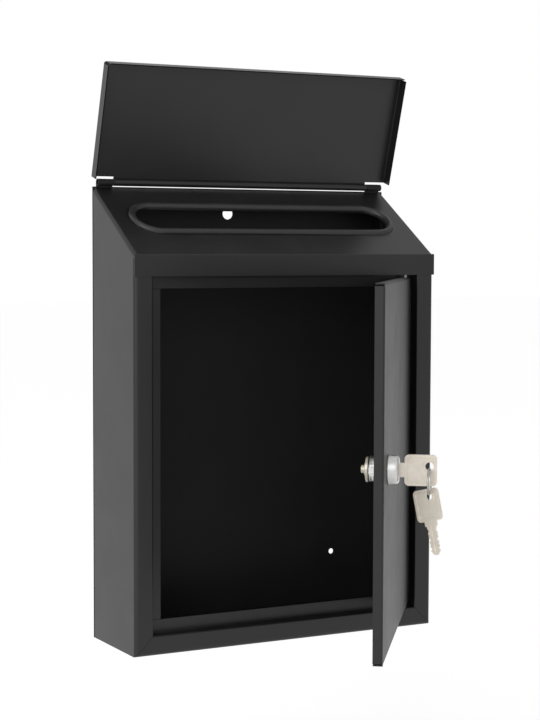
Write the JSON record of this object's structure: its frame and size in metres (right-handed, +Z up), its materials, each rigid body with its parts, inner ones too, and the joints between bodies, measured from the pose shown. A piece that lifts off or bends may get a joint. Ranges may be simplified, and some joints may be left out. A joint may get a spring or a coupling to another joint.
{
  "type": "wall mounted mailbox",
  "caption": "Sheet-steel wall mailbox with a hinged lid over a letter slot in its sloping top, and a front door with a cam lock and keys.",
  "frame": {"origin": "midway between the two lower wall holes, on the back face that lies against the wall", "axes": "+X to the right as seen from the front, +Y into the wall, +Z up; the door faces -Y"},
  "size_m": [0.2632, 0.2545, 0.4431],
  "materials": {
    "black_body": "fine satin powder coat",
    "black_door": "fine satin powder coat",
    "zinc": "zinc plated",
    "lock_head": "satin nickel plated",
    "key_metal": "nickel-plated brass, lightly worn",
    "ring_wire": "bright spring steel"
  },
  "bodies": {
    "box": {"back_panel": "black_body", "left_side": "black_body", "right_side": "black_body", "bottom_panel": "black_body", "top_cover": "black_body", "door_head_rail": "black_body", "upper_pivot_pin": "zinc", "lower_pivot_pin": "zinc", "lower_pivot_washer": "zinc", "lid_hinge_pin": "zinc"},
    "lid": {"lid": "black_door"},
    "door": {"door": "black_door", "lock_housing": "lock_head", "lock_washer": "zinc", "lock_nut": "zinc"},
    "lock_core": {"lock_plug": "lock_head", "lock_cam": "zinc", "cam_screw": "zinc"},
    "key": {"key": "key_metal"},
    "key_ring": {"key_ring": "ring_wire"},
    "spare_key": {"spare_key": "key_metal"}
  },
  "joints": [
    {"name": "lid_hinge", "type": "hinge", "parent": "box", "child": "lid", "pos_m": [0, -0.0027, 0.3025], "axis": [1, 0, 0], "range_deg": [-16.5, 104]},
    {"name": "door_hinge", "type": "hinge", "parent": "box", "child": "door", "pos_m": [0.1063, -0.076, 0.099], "axis": [0, 0, 1], "range_deg": [-53, 62]},
    {"name": "lock_turn", "type": "hinge", "parent": "door", "child": "lock_core", "pos_m": [-0.0021, -0.22608, 0.099], "axis": [0.7986, -0.6018, 0], "range_deg": [0, 180]},
    {"name": "key_slide", "type": "slide", "parent": "lock_core", "child": "key", "axis": [0.7986, -0.6018, 0], "range_m": [0, 0.022]},
    {"name": "ring_swing", "type": "hinge", "parent": "key", "child": "key_ring", "pos_m": [0.0209, -0.24342, 0.1018], "axis": [0.6018, 0.7986, 0], "range_deg": [-10, 10]},
    {"name": "spare_swing", "type": "hinge", "parent": "key_ring", "child": "spare_key", "pos_m": [0.0209, -0.24342, 0.08117], "axis": [0.9511, 0.309, 0], "range_deg": [-10, 20]}
  ]
}
